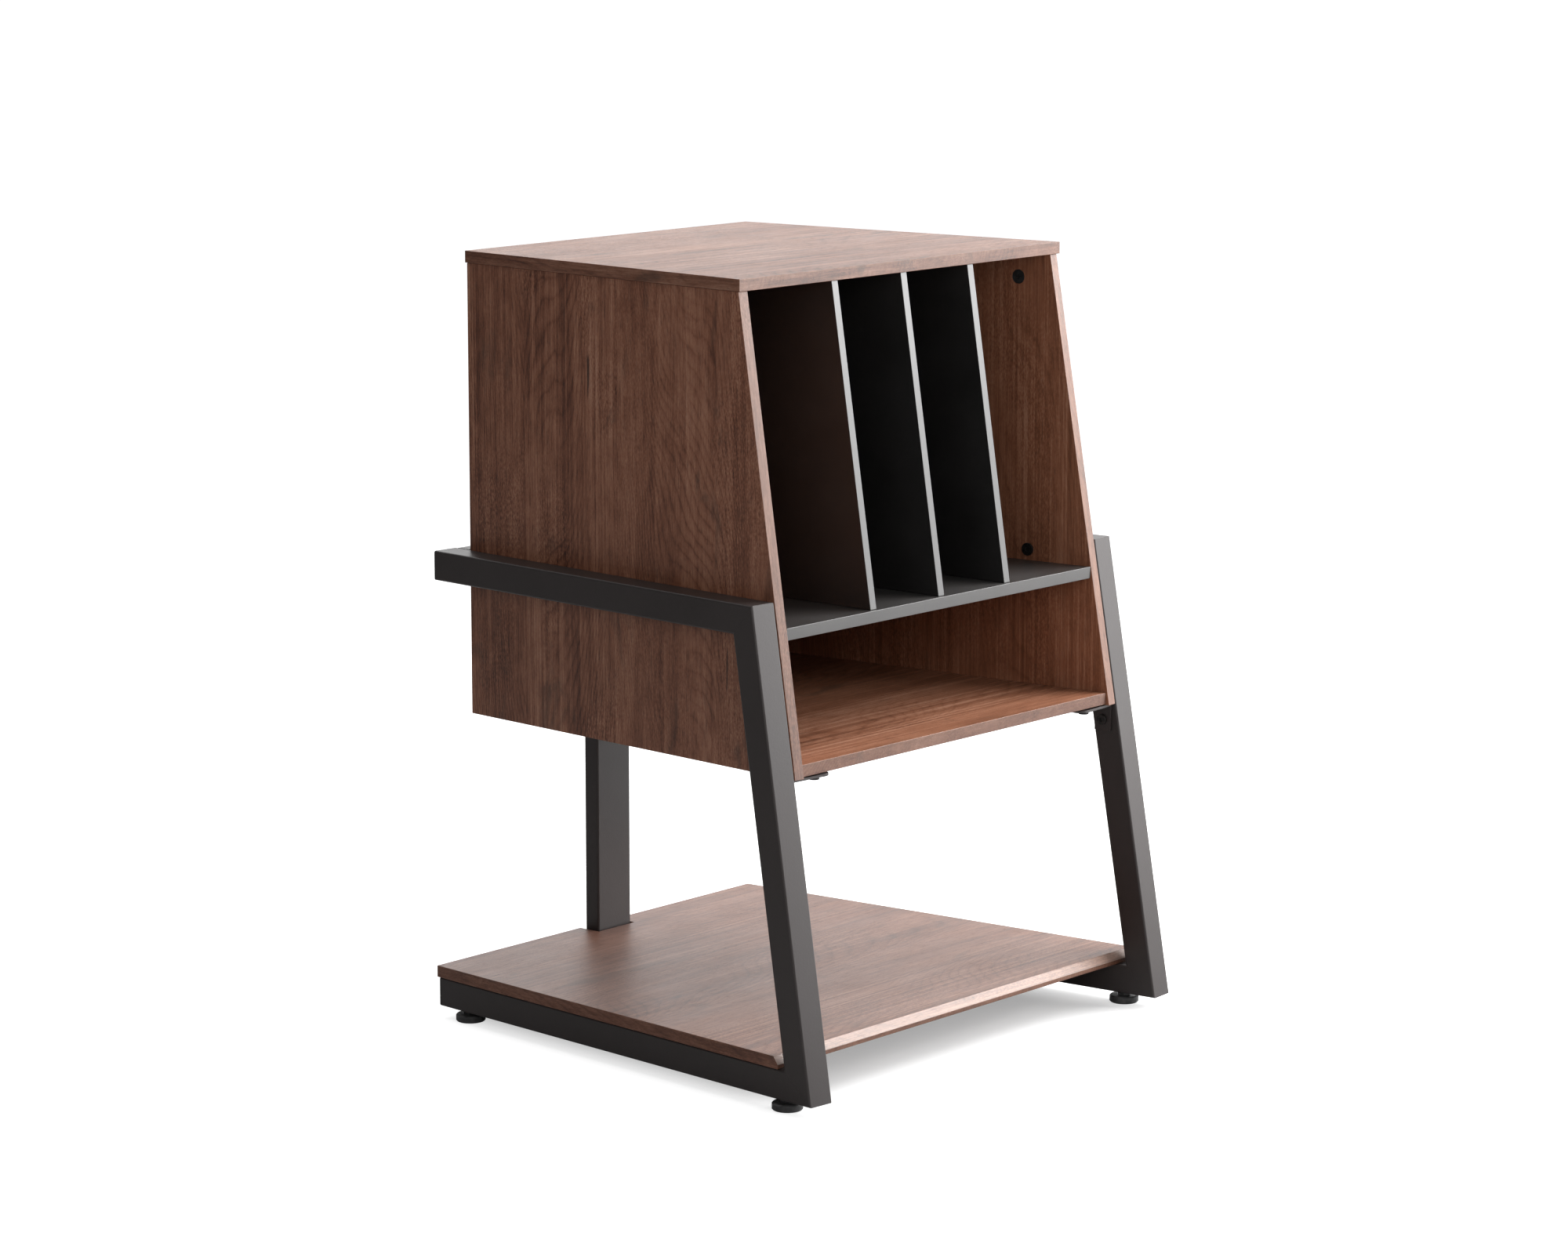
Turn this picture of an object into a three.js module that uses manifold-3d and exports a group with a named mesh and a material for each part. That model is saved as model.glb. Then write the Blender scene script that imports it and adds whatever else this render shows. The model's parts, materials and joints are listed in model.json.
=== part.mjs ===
// Album stand: a walnut-laminate cabinet carried in a black steel tube frame, over a base shelf.
//
// Millimetres, +Z up, the open front faces -Y. The origin is on the floor, under the centre of the
// overall box. Seen from above, both sides of the stand turn outward towards the front by SPLAY, so
// every board is a symmetric trapezoid. Seen from the side, the legs and the cabinet's front edges
// come forward towards the floor by SLANT. Whatever belongs to one side is built in that side's own
// turned group: x points sideways, y runs back along the side panel, and x = 0 is the outer face of
// the side panel.

import * as THREE from "three";
import { mergeVertices } from "three/addons/utils/BufferGeometryUtils.js";
import Module from "manifold-3d";

// ---- driving dimensions ----

const SPLAY = THREE.MathUtils.degToRad(5);
const SLANT = THREE.MathUtils.degToRad(9.5);
const DEPTH = 573.5;
const TOUCH = 0.3; // clearance between pieces that meet
const HOLE_CLEARANCE = 0.3; // a bolt in its hole, a plug in its tube
const SEAT_CLEARANCE = 0.1; // a screw's head on its seat

const FLOOR_GAP = 13.2; // floor to the underside of the tubes
const TUBE = 31.75;
const TUBE_WALL = 1.5;
const TUBE_CORNER = 2.2; // outside radius
const FLAT_TUBE_WIDTH = 53;
const FLAT_TUBE_DEPTH = 20;
const TOP_BAR_UNDERSIDE = 481.2;
const CROSSBAR_REAR = 281;
const BAR_REAR = 282.5; // along the side
const FRAME_GAP = 0.7; // side panel to side frame

const BOARD = 12.7;
const THIN_BOARD = 9.5;
const CABINET_HALF_WIDTH = 247.2; // over the side panels, at y = 0
const CABINET_TOP = 833;
const CABINET_BOTTOM = 335;
const CABINET_REAR = 260.5;
const CABINET_FRONT_AT_TOP = -152.5;
const TOP_OVERHANG = 1.5;
const TOP_FRONT = -155;
const SHELF_TOP = 485.2;
const BOTTOM_PANEL_RAISE = 1;
const BOTTOM_PANEL_SETBACK = 1.5;
const DIVIDER_PITCH = 111;
const DIVIDER_SETBACK = { top: 1, bottom: 4 }; // from the side panels' front edges

const BASE_FRONT = -239;
const BASE_OVERHANG = 1.5;
const BASE_CHAMFER_RUN = 6;
const BASE_CHAMFER_DROP = 8.2;
const NOTCH_CLEARANCE = 2.5;

const FOOT_AT = { front: -239.5, rear: 250 }; // along the side
const FOOT_RADIUS = 16;
const FOOT_THICKNESS = 8;
const FOOT_EDGE = 1.2;
const COLLAR_RADIUS = 7.5; // across corners
const STUD_RADIUS = 4;
const RUNNING_FIT = 0.1;
const STUD_BOTTOM = 9;
const STUD_TOP = 38;
const NUT_HEIGHT = 6.5;

const CAM_AT = { front: -112, rear: 200 };
const CAM_RADIUS = 7.5;
const CAM_DEPTH = 9;
const CAM_DROP = 26.3; // top panel's underside to the cam's centre
const CAM_BOLT_RADIUS = 3;
const BAR_BOLT_AT = { front: -128, rear: 200 };
const BOLT_RADIUS = 3;
const BOLT_HEAD_RADIUS = 7;
const BOLT_HEAD = 2.5;
const SOCKET_RADIUS = 2.3;
const SOCKET_DEPTH = 1.6;
const CROSSBAR_BOLT_X = 150;

const BRACKET_AT = -219;
const BRACKET_WIDTH = 20;
const BRACKET_REACH = 58;
const BRACKET_DROP = 30;
const BRACKET_THICKNESS = 2.5;
const BRACKET_SCREW_REACH = 41;
const BRACKET_SCREW_DROP = 18.5;
const BUTTON_RADIUS = 5.5;
const BUTTON_HEIGHT = 3.3;

const BASE_SCREW_AT = { front: -190, rear: 190 };
const BASE_SCREW_RADIUS = 2.1;
const BASE_SCREW_HEAD_RADIUS = 4;
const BASE_SCREW_HEAD = 2.5;
const ACCESS_RADIUS = 6;

const CAP_FLANGE = 1.5;
const CAP_PLUG = 12;

const ROUND_SEGMENTS = 24;
const CORNER_SEGMENTS = 2; // three.js doubles it on an arc
const FOOT_SEGMENTS = 36;
const FAR = 600; // well past any piece, for cutters

// ---- derived dimensions ----

const tanSplay = Math.tan(SPLAY);
const cosSplay = Math.cos(SPLAY);
const tanSlant = Math.tan(SLANT);
const legDepth = TUBE / Math.cos(SLANT); // the slanted tube, measured level
const topBarTop = TOP_BAR_UNDERSIDE + TUBE;
const topBarMiddle = TOP_BAR_UNDERSIDE + TUBE / 2;
const bottomBarTop = FLOOR_GAP + TUBE;
const legToe = -(DEPTH / 2 + FRAME_GAP * Math.sin(SPLAY)) / cosSplay;
const barMiddle = FRAME_GAP + TUBE / 2;
const crossbarFront = CROSSBAR_REAR - FLAT_TUBE_DEPTH;
const topUnderside = CABINET_TOP - BOARD;
const backPanelFront = CABINET_REAR - THIN_BOARD;
const bottomPanelUnderside = CABINET_BOTTOM + BOTTOM_PANEL_RAISE;
const bottomPanelTop = bottomPanelUnderside + BOARD;
const baseUnderside = bottomBarTop + TOUCH;
const baseTop = baseUnderside + BOARD;
const camHeight = topUnderside - CAM_DROP;

// half-widths at y = 0, square across the stand
const sideInnerHalf = CABINET_HALF_WIDTH - BOARD / cosSplay;
const frameInnerHalf = CABINET_HALF_WIDTH + FRAME_GAP / cosSplay;
const frameOuterHalf = CABINET_HALF_WIDTH + (FRAME_GAP + TUBE) / cosSplay;

const legFrontAt = (z) => legToe + (z - FLOOR_GAP) * tanSlant;
const cabinetFrontAt = (z) => CABINET_FRONT_AT_TOP - (topUnderside - z) * tanSlant;

// ---- materials ----

function finish(color, roughness, metalness) {
  return () => new THREE.MeshStandardMaterial({ color, roughness, metalness });
}

const walnut = finish("#5b3d30", 0.45, 0);
const blackLaminate = finish("#2b2827", 0.5, 0);
const powderCoat = finish("#2b2827", 0.55, 0.2);
const blackPlastic = finish("#1d1c1c", 0.5, 0);
const blackSteel = finish("#222122", 0.35, 0.8);
const zincSteel = finish("#b9bbbd", 0.35, 1);

// ---- solids ----

const wasm = await Module();
wasm.setup();

function toSolid(geometry) {
  const bare = geometry.clone();
  bare.deleteAttribute("normal");
  bare.deleteAttribute("uv");
  const merged = mergeVertices(bare, 1e-4);
  return new wasm.Manifold(
    new wasm.Mesh({
      numProp: 3,
      vertProperties: new Float32Array(merged.attributes.position.array),
      triVerts: new Uint32Array(merged.index.array),
    }),
  );
}

function toGeometry(solid) {
  const mesh = solid.getMesh();
  const geometry = new THREE.BufferGeometry();
  geometry.setAttribute("position", new THREE.BufferAttribute(new Float32Array(mesh.vertProperties), 3));
  geometry.setIndex(new THREE.BufferAttribute(new Uint32Array(mesh.triVerts), 1));
  geometry.computeVertexNormals();
  return geometry;
}

function cut(geometry, cutters) {
  return toGeometry(cutters.reduce((solid, cutter) => solid.subtract(toSolid(cutter)), toSolid(geometry)));
}

function keepInside(geometry, keeper) {
  return toGeometry(toSolid(geometry).intersect(toSolid(keeper)));
}

function join(geometries) {
  return toGeometry(geometries.map(toSolid).reduce((whole, solid) => whole.add(solid)));
}

// A box between two values on each axis, in either order.
function block([x0, x1], [y0, y1], [z0, z1]) {
  const box = new THREE.BoxGeometry(Math.abs(x1 - x0), Math.abs(y1 - y0), Math.abs(z1 - z0));
  return box.translate((x0 + x1) / 2, (y0 + y1) / 2, (z0 + z1) / 2);
}

// A round bar along x, y or z, from one value to another, centred on the other two coordinates.
function rod(axis, [from, to], [a, b], radius, segments = ROUND_SEGMENTS) {
  const cylinder = new THREE.CylinderGeometry(radius, radius, Math.abs(to - from), segments);
  const middle = (from + to) / 2;
  if (axis === "x") return cylinder.rotateZ(Math.PI / 2).translate(middle, a, b);
  if (axis === "y") return cylinder.translate(a, middle, b);
  return cylinder.rotateX(Math.PI / 2).translate(a, b, middle);
}

function outline(points) {
  return new THREE.Shape(points.map(([x, y]) => new THREE.Vector2(x, y)));
}

// A side profile of [y, z] points, extruded sideways from x0 to x1.
function sideProfile(points, [x0, x1]) {
  const depth = Math.abs(x1 - x0);
  const geometry = new THREE.ExtrudeGeometry(outline(points), { depth, bevelEnabled: false });
  const turn = new THREE.Matrix4().makeBasis(
    new THREE.Vector3(0, 1, 0),
    new THREE.Vector3(0, 0, 1),
    new THREE.Vector3(1, 0, 0),
  );
  return geometry.applyMatrix4(turn).translate(Math.min(x0, x1), 0, 0);
}

// A cutter for everything to the left of the line from one [y, z] point to another, short of it by gap.
function leftOf([y0, z0], [y1, z1], gap) {
  const along = new THREE.Vector2(y1 - y0, z1 - z0).setLength(FAR);
  const away = new THREE.Vector2(-along.y, along.x);
  const corner = (alongShare, awayShare) => [
    y0 + along.x * alongShare + away.x * awayShare,
    z0 + along.y * alongShare + away.y * awayShare,
  ];
  const near = gap / FAR;
  return sideProfile([corner(-1, near), corner(1, near), corner(1, 1), corner(-1, 1)], [-FAR, FAR]);
}

function roundedRectangle(width, height, radius) {
  const x = width / 2 - radius;
  const y = height / 2 - radius;
  const shape = new THREE.Shape();
  const corners = [[x, y], [-x, y], [-x, -y], [x, -y]];
  corners.forEach(([cornerX, cornerY], index) => {
    const start = (index * Math.PI) / 2;
    shape.absarc(cornerX, cornerY, radius, start, start + Math.PI / 2);
  });
  return shape.closePath();
}

// A round-cornered bar standing on z = 0.
function solidBar(width, height, radius, length) {
  const settings = { depth: length, bevelEnabled: false, curveSegments: CORNER_SEGMENTS };
  return new THREE.ExtrudeGeometry(roundedRectangle(width, height, radius), settings);
}

// A round-cornered hollow tube standing on z = 0, with both ends open.
function hollowTube(width, height, length) {
  const section = roundedRectangle(width, height, TUBE_CORNER);
  const bore = roundedRectangle(width - 2 * TUBE_WALL, height - 2 * TUBE_WALL, TUBE_CORNER - TUBE_WALL);
  section.holes.push(bore);
  const settings = { depth: length, bevelEnabled: false, curveSegments: CORNER_SEGMENTS };
  return new THREE.ExtrudeGeometry(section, settings);
}

// A level board whose two ends follow the splayed sides; half is its half-width at y = 0.
function board(half, [front, rear], [z0, z1]) {
  const halfAt = (y) => half - y * tanSplay;
  const points = [
    [-halfAt(front), front],
    [halfAt(front), front],
    [halfAt(rear), rear],
    [-halfAt(rear), rear],
  ];
  const geometry = new THREE.ExtrudeGeometry(outline(points), { depth: z1 - z0, bevelEnabled: false });
  return geometry.translate(0, 0, z0);
}

// The place in the whole stand of a point that is given in a side's own group.
function standPoint(side, outward, along) {
  const x = CABINET_HALF_WIDTH + outward * cosSplay - along * Math.sin(SPLAY);
  const y = outward * Math.sin(SPLAY) + along * cosSplay;
  return [side * x, y];
}

const SIDES = { left: -1, right: 1 };
const ENDS = ["front", "rear"];
const eachSide = Object.entries(SIDES);

const stand = new THREE.Group();

function addPart(group, name, geometry, material) {
  const mesh = new THREE.Mesh(geometry, material());
  mesh.name = name;
  group.add(mesh);
}

function sideGroup(side) {
  const group = new THREE.Group();
  group.position.set(side * CABINET_HALF_WIDTH, 0, 0);
  group.rotation.z = side * SPLAY;
  stand.add(group);
  return group;
}

// ---- cabinet ----

function sidePanel(side) {
  const top = topUnderside - TOUCH;
  const rear = CABINET_REAR / cosSplay;
  const panel = sideProfile(
    [
      [cabinetFrontAt(CABINET_BOTTOM), CABINET_BOTTOM],
      [rear, CABINET_BOTTOM],
      [rear, top],
      [cabinetFrontAt(top), top],
    ],
    [-side * BOARD, 0],
  );
  const pocketBottom = BOARD - CAM_DEPTH - TOUCH;
  const pocketRadius = CAM_RADIUS + HOLE_CLEARANCE;
  const camBoltHole = CAM_BOLT_RADIUS + HOLE_CLEARANCE;
  const cutters = ENDS.flatMap((end) => [
    rod("x", [-side * FAR, -side * pocketBottom], [CAM_AT[end], camHeight], pocketRadius),
    rod("z", [camHeight, FAR + topUnderside], [(-side * BOARD) / 2, CAM_AT[end]], camBoltHole),
    rod("x", [-FAR, FAR], [BAR_BOLT_AT[end], topBarMiddle], BOLT_RADIUS + HOLE_CLEARANCE),
  ]);
  return cut(panel, cutters);
}

function topPanel() {
  const half = CABINET_HALF_WIDTH + TOP_OVERHANG / cosSplay;
  const panel = board(half, [TOP_FRONT, CABINET_REAR + TOP_OVERHANG], [topUnderside, CABINET_TOP]);
  const boltHoles = eachSide.flatMap(([, side]) =>
    ENDS.map((end) => {
      const place = standPoint(side, -BOARD / 2, CAM_AT[end]);
      return rod("z", [0, topUnderside + THIN_BOARD + TOUCH], place, CAM_BOLT_RADIUS + HOLE_CLEARANCE);
    }),
  );
  return cut(panel, boltHoles);
}

function backPanel() {
  const half = sideInnerHalf - TOUCH;
  const panel = board(half, [backPanelFront, CABINET_REAR], [bottomPanelUnderside, topUnderside - TOUCH]);
  const holes = [-1, 1].map((side) =>
    rod("y", [0, FAR], [side * CROSSBAR_BOLT_X, topBarMiddle], BOLT_RADIUS + HOLE_CLEARANCE),
  );
  return cut(panel, holes);
}

function shelfBetweenSides(front, top) {
  return board(sideInnerHalf - TOUCH, [front, backPanelFront - TOUCH], [top - BOARD, top]);
}

function bottomPanel() {
  const panel = shelfBetweenSides(cabinetFrontAt(bottomPanelTop) + BOTTOM_PANEL_SETBACK, bottomPanelTop);
  const screwHoles = eachSide.map(([, side]) =>
    rod(
      "z",
      [0, bottomPanelUnderside + THIN_BOARD],
      standPoint(side, -BRACKET_SCREW_REACH, BRACKET_AT),
      BOLT_RADIUS + HOLE_CLEARANCE,
    ),
  );
  return cut(panel, screwHoles);
}

// The divider's front edge stands back from the side panels', further at the shelf than at the top.
function divider(x) {
  const bottom = SHELF_TOP + TOUCH;
  const top = topUnderside - TOUCH;
  const rear = backPanelFront - TOUCH;
  const points = [
    [cabinetFrontAt(bottom) + DIVIDER_SETBACK.bottom, bottom],
    [rear, bottom],
    [rear, top],
    [cabinetFrontAt(top) + DIVIDER_SETBACK.top, top],
  ];
  return sideProfile(points, [x - THIN_BOARD / 2, x + THIN_BOARD / 2]);
}

function addCabinet() {
  addPart(stand, "top_panel", topPanel(), walnut);
  addPart(stand, "back_panel", backPanel(), walnut);
  addPart(stand, "middle_shelf", shelfBetweenSides(cabinetFrontAt(SHELF_TOP), SHELF_TOP), blackLaminate);
  addPart(stand, "bottom_panel", bottomPanel(), walnut);
  addPart(stand, "left_divider", divider(-DIVIDER_PITCH), blackLaminate);
  addPart(stand, "centre_divider", divider(0), blackLaminate);
  addPart(stand, "right_divider", divider(DIVIDER_PITCH), blackLaminate);
}

// ---- side frames ----

const topMitre = [
  [legFrontAt(topBarTop), topBarTop],
  [legFrontAt(TOP_BAR_UNDERSIDE) + legDepth, TOP_BAR_UNDERSIDE],
];
const bottomMitre = [
  [legFrontAt(bottomBarTop) + legDepth, bottomBarTop],
  [legToe, FLOOR_GAP],
];

// A level tube along the side, from its mitre with the leg back to its open rear end.
function sideBar(side, underside, [mitreStart, mitreEnd]) {
  const rear = BAR_REAR - CAP_FLANGE - TOUCH;
  const length = rear - legToe;
  const tube = hollowTube(TUBE, TUBE, length)
    .rotateX(-Math.PI / 2)
    .translate(side * barMiddle, legToe, underside + TUBE / 2);
  return cut(tube, [leftOf(mitreEnd, mitreStart, TOUCH / -2)]);
}

function topBar(side) {
  const boltHoles = ENDS.map((end) =>
    rod("x", [0, side * barMiddle], [BAR_BOLT_AT[end], topBarMiddle], BOLT_RADIUS + HOLE_CLEARANCE),
  );
  return cut(sideBar(side, TOP_BAR_UNDERSIDE, topMitre), boltHoles);
}

function bottomBar(side) {
  const middle = FLOOR_GAP + TUBE / 2;
  const holes = ENDS.flatMap((end) => [
    rod("z", [0, middle], [side * barMiddle, FOOT_AT[end]], STUD_RADIUS + HOLE_CLEARANCE),
    rod("z", [0, middle], [side * barMiddle, BASE_SCREW_AT[end]], ACCESS_RADIUS),
    rod("z", [middle, FAR], [side * barMiddle, BASE_SCREW_AT[end]], BASE_SCREW_RADIUS + HOLE_CLEARANCE),
  ]);
  return cut(sideBar(side, FLOOR_GAP, bottomMitre), holes);
}

// The slanted tube, mitred into both bars.
function leg(side) {
  const tube = hollowTube(TUBE, TUBE, 2 * FAR)
    .translate(0, 0, -FAR)
    .rotateX(-SLANT)
    .translate(side * barMiddle, legFrontAt(0) + legDepth / 2, 0);
  const screwHeight = CABINET_BOTTOM - BRACKET_SCREW_DROP;
  return cut(tube, [
    leftOf(...topMitre, TOUCH / -2),
    leftOf(...bottomMitre, TOUCH / -2),
    rod("x", [0, side * barMiddle], [BRACKET_AT, screwHeight], BOLT_RADIUS + HOLE_CLEARANCE),
  ]);
}

// A plastic plug with a thin flange that covers a bar's rear end.
function endCap(side, underside) {
  const inset = 2 * (TUBE_WALL + HOLE_CLEARANCE);
  const flange = solidBar(TUBE, TUBE, TUBE_CORNER, CAP_FLANGE);
  const plug = solidBar(TUBE - inset, TUBE - inset, TUBE_CORNER / 2, CAP_PLUG + CAP_FLANGE / 2);
  return join([flange.translate(0, 0, CAP_PLUG), plug])
    .rotateX(-Math.PI / 2)
    .translate(side * barMiddle, BAR_REAR - CAP_FLANGE - CAP_PLUG, underside + TUBE / 2);
}

// ---- rear members, square across the stand ----

// A hollow crossbar whose two open ends follow the side frames' inner faces.
function crossbar(underside, cutters) {
  const half = frameInnerHalf - TOUCH;
  const middle = crossbarFront + FLAT_TUBE_DEPTH / 2;
  const tube = hollowTube(TUBE, FLAT_TUBE_DEPTH, 2 * half)
    .translate(0, 0, -half)
    .rotateY(Math.PI / 2)
    .translate(0, middle, underside + TUBE / 2);
  const between = board(half, [crossbarFront - 1, CROSSBAR_REAR + 1], [underside - 1, underside + TUBE + 1]);
  return cut(keepInside(tube, between), cutters);
}

function rearPost() {
  const bottom = bottomBarTop + TOUCH;
  const tube = hollowTube(FLAT_TUBE_WIDTH, FLAT_TUBE_DEPTH, TOP_BAR_UNDERSIDE - TOUCH - bottom);
  return tube.translate(0, crossbarFront + FLAT_TUBE_DEPTH / 2, bottom);
}

function addRearMembers() {
  const boltHoles = [-1, 1].map((side) =>
    rod(
      "y",
      [0, CROSSBAR_REAR - FLAT_TUBE_DEPTH / 2],
      [side * CROSSBAR_BOLT_X, topBarMiddle],
      BOLT_RADIUS + HOLE_CLEARANCE,
    ),
  );
  addPart(stand, "rear_top_crossbar", crossbar(TOP_BAR_UNDERSIDE, boltHoles), powderCoat);
  addPart(stand, "rear_bottom_crossbar", crossbar(FLOOR_GAP, []), powderCoat);
  addPart(stand, "rear_post", rearPost(), powderCoat);
}

// ---- base panel ----

function basePanel() {
  const half = frameOuterHalf + BASE_OVERHANG / cosSplay;
  const panel = board(half, [BASE_FRONT, DEPTH / 2], [baseUnderside, baseTop]);
  const chamfer = sideProfile(
    [
      [BASE_FRONT - 1, baseTop + 1],
      [BASE_FRONT - 1, baseTop - BASE_CHAMFER_DROP],
      [BASE_FRONT, baseTop - BASE_CHAMFER_DROP],
      [BASE_FRONT + BASE_CHAMFER_RUN, baseTop],
      [BASE_FRONT + BASE_CHAMFER_RUN, baseTop + 1],
    ],
    [-FAR, FAR],
  );
  const notchHalf = FLAT_TUBE_WIDTH / 2 + NOTCH_CLEARANCE;
  const notch = block([-notchHalf, notchHalf], [crossbarFront - NOTCH_CLEARANCE, FAR], [0, FAR]);
  const screwHoles = eachSide.flatMap(([, side]) =>
    ENDS.map((end) => {
      const place = standPoint(side, barMiddle, BASE_SCREW_AT[end]);
      return rod("z", [0, baseUnderside + THIN_BOARD + TOUCH], place, BASE_SCREW_RADIUS + HOLE_CLEARANCE);
    }),
  );
  return cut(panel, [chamfer, notch, ...screwHoles]);
}

// ---- levelling feet ----

// A round pad with an eased rim and a hexagonal collar, bored from above for the stud.
function footPad(x, y) {
  const rim = [
    [0, 0],
    [FOOT_RADIUS - FOOT_EDGE, 0],
    [FOOT_RADIUS, FOOT_EDGE],
    [FOOT_RADIUS, FOOT_THICKNESS - FOOT_EDGE],
    [FOOT_RADIUS - FOOT_EDGE, FOOT_THICKNESS],
    [0, FOOT_THICKNESS],
  ].map(([radius, height]) => new THREE.Vector2(radius, height));
  const disc = new THREE.LatheGeometry(rim, FOOT_SEGMENTS).rotateX(Math.PI / 2);
  const collar = rod("z", [FOOT_THICKNESS / 2, FLOOR_GAP - TOUCH], [0, 0], COLLAR_RADIUS, 6);
  const bore = rod("z", [STUD_BOTTOM - TOUCH, FAR], [0, 0], STUD_RADIUS + RUNNING_FIT);
  return cut(join([disc, collar]), [bore]).translate(x, y, 0);
}

function footNut(x, y) {
  const seat = FLOOR_GAP + TUBE_WALL;
  const hexagon = rod("z", [seat, seat + NUT_HEIGHT], [x, y], COLLAR_RADIUS, 6);
  return cut(hexagon, [rod("z", [0, FAR], [x, y], STUD_RADIUS + RUNNING_FIT)]);
}

function addFoot(group, name, x, y) {
  addPart(group, `${name}_foot_pad`, footPad(x, y), blackPlastic);
  addPart(group, `${name}_foot_stud`, rod("z", [STUD_BOTTOM, STUD_TOP], [x, y], STUD_RADIUS), zincSteel);
  addPart(group, `${name}_foot_nut`, footNut(x, y), zincSteel);
}

// ---- fasteners ----

// A round-headed screw along an axis: tip and seat are values on it, and the head goes on past the seat.
function screw(axis, tip, seat, place, [radius, headRadius, headHeight]) {
  const away = Math.sign(seat - tip);
  const end = seat + away * headHeight;
  const shank = rod(axis, [tip, seat + (away * headHeight) / 2], place, radius);
  const head = rod(axis, [seat, end], place, headRadius);
  const socket = rod(axis, [end - away * SOCKET_DEPTH, end + away], place, SOCKET_RADIUS, 6);
  return cut(join([shank, head]), [socket]);
}

const CONNECTOR_BOLT = [BOLT_RADIUS, BOLT_HEAD_RADIUS, BOLT_HEAD];
const BUTTON_SCREW = [BOLT_RADIUS, BUTTON_RADIUS, BUTTON_HEIGHT];
const WOOD_SCREW = [BASE_SCREW_RADIUS, BASE_SCREW_HEAD_RADIUS, BASE_SCREW_HEAD];

// The cam is a disc in a pocket in the side panel, with a cross slot in its face.
function camLock(side, y) {
  const face = side * -BOARD;
  const disc = rod("x", [face, face + side * CAM_DEPTH], [y, camHeight], CAM_RADIUS);
  const slotDepth = [face - side, face + side * SOCKET_DEPTH];
  const long = CAM_RADIUS / 2;
  const short = SOCKET_RADIUS / 3;
  return cut(disc, [
    block(slotDepth, [y - long, y + long], [camHeight - short, camHeight + short]),
    block(slotDepth, [y - short, y + short], [camHeight - long, camHeight + long]),
  ]);
}

function addCam(group, name, side, y) {
  const boltBottom = camHeight + CAM_RADIUS + TOUCH;
  const bolt = rod("z", [boltBottom, topUnderside + THIN_BOARD], [(-side * BOARD) / 2, y], CAM_BOLT_RADIUS);
  addPart(group, `${name}_cam_lock`, camLock(side, y), blackPlastic);
  addPart(group, `${name}_cam_bolt`, bolt, zincSteel);
}

function barBolt(side, y) {
  const tip = side * (FRAME_GAP + TUBE / 3);
  return screw("x", tip, -side * (BOARD + SEAT_CLEARANCE), [y, topBarMiddle], CONNECTOR_BOLT);
}

function baseScrew(side, y) {
  const seat = bottomBarTop - TUBE_WALL - SEAT_CLEARANCE;
  return screw("z", baseUnderside + THIN_BOARD, seat, [side * barMiddle, y], WOOD_SCREW);
}

// An angle bracket from the leg's inner face to the underside of the cabinet.
function bracket(side) {
  const top = CABINET_BOTTOM - TOUCH;
  const outer = FRAME_GAP - TOUCH;
  const inner = outer - BRACKET_REACH;
  const half = BRACKET_WIDTH / 2;
  const across = [BRACKET_AT - half, BRACKET_AT + half];
  const level = block([side * (inner + half), side * outer], across, [top - BRACKET_THICKNESS, top]);
  const roundEnd = rod("z", [top - BRACKET_THICKNESS, top], [side * (inner + half), BRACKET_AT], half);
  const wall = [side * (outer - BRACKET_THICKNESS), side * outer];
  const upright = block(wall, across, [top - BRACKET_DROP, top]);
  const screwHeight = CABINET_BOTTOM - BRACKET_SCREW_DROP;
  return cut(join([level, roundEnd, upright]), [
    rod("z", [0, FAR], [-side * BRACKET_SCREW_REACH, BRACKET_AT], BOLT_RADIUS + HOLE_CLEARANCE),
    rod("x", [-FAR, FAR], [BRACKET_AT, screwHeight], BOLT_RADIUS + HOLE_CLEARANCE),
  ]);
}

function addBracket(group, name, side) {
  const underside = CABINET_BOTTOM - TOUCH - BRACKET_THICKNESS - SEAT_CLEARANCE;
  const face = side * (FRAME_GAP - TOUCH - BRACKET_THICKNESS - SEAT_CLEARANCE);
  const tip = bottomPanelUnderside + THIN_BOARD - TOUCH;
  const panelPlace = [-side * BRACKET_SCREW_REACH, BRACKET_AT];
  const legPlace = [BRACKET_AT, CABINET_BOTTOM - BRACKET_SCREW_DROP];
  const legTip = side * (FRAME_GAP + TUBE / 3);
  addPart(group, `${name}_bracket`, bracket(side), powderCoat);
  const panelScrew = screw("z", tip, underside, panelPlace, BUTTON_SCREW);
  addPart(group, `${name}_bracket_panel_screw`, panelScrew, blackSteel);
  const legScrew = screw("x", legTip, face, legPlace, BUTTON_SCREW);
  addPart(group, `${name}_bracket_leg_screw`, legScrew, blackSteel);
}

function addCrossbarBolts() {
  const seat = backPanelFront - SEAT_CLEARANCE;
  const tip = crossbarFront + FLAT_TUBE_DEPTH / 2 - TOUCH;
  for (const [name, side] of eachSide) {
    const bolt = screw("y", tip, seat, [side * CROSSBAR_BOLT_X, topBarMiddle], CONNECTOR_BOLT);
    addPart(stand, `${name}_crossbar_bolt`, bolt, blackSteel);
  }
}

// ---- assembly ----

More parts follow.
